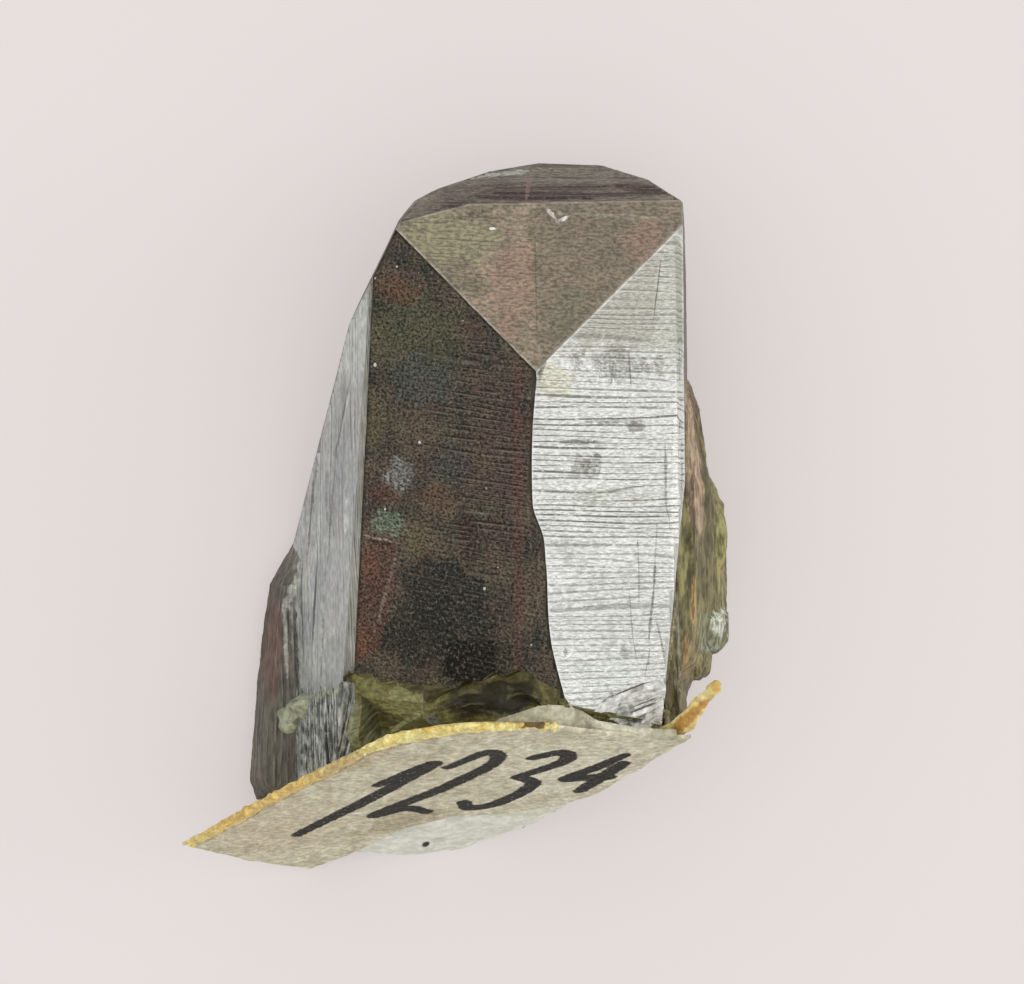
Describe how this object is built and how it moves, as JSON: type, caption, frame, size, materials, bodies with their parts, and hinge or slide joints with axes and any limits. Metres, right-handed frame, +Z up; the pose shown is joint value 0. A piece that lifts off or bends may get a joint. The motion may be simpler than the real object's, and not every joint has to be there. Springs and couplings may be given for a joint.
{
  "type": "thortveitite crystal",
  "caption": "Stubby striated prism with a sloping roof tip, smaller crystals grown on its sides, and its broken base set in filler and glued to a paper label.",
  "frame": {"origin": "middle of the bounding box's footprint, on the surface that the specimen lies on", "axes": "+Y along the crystal towards its tip, +Z up from the flat back that it lies on towards the two striated front faces, +X to the right of the front faces"},
  "size_m": [0.01, 0.0132, 0.007],
  "materials": {
    "thortveitite": "glassy striated faces, dark brown to grey, one face silvery",
    "plaster": "matt white filler, slightly soiled",
    "glue": "aged amber glue, beaded along the rim",
    "paper": "fibrous beige paper with black ink"
  },
  "bodies": {
    "root": {"crystal": "thortveitite", "base_filler": "plaster", "glue_layer": "glue", "paper_label": "paper"}
  },
  "joints": []
}
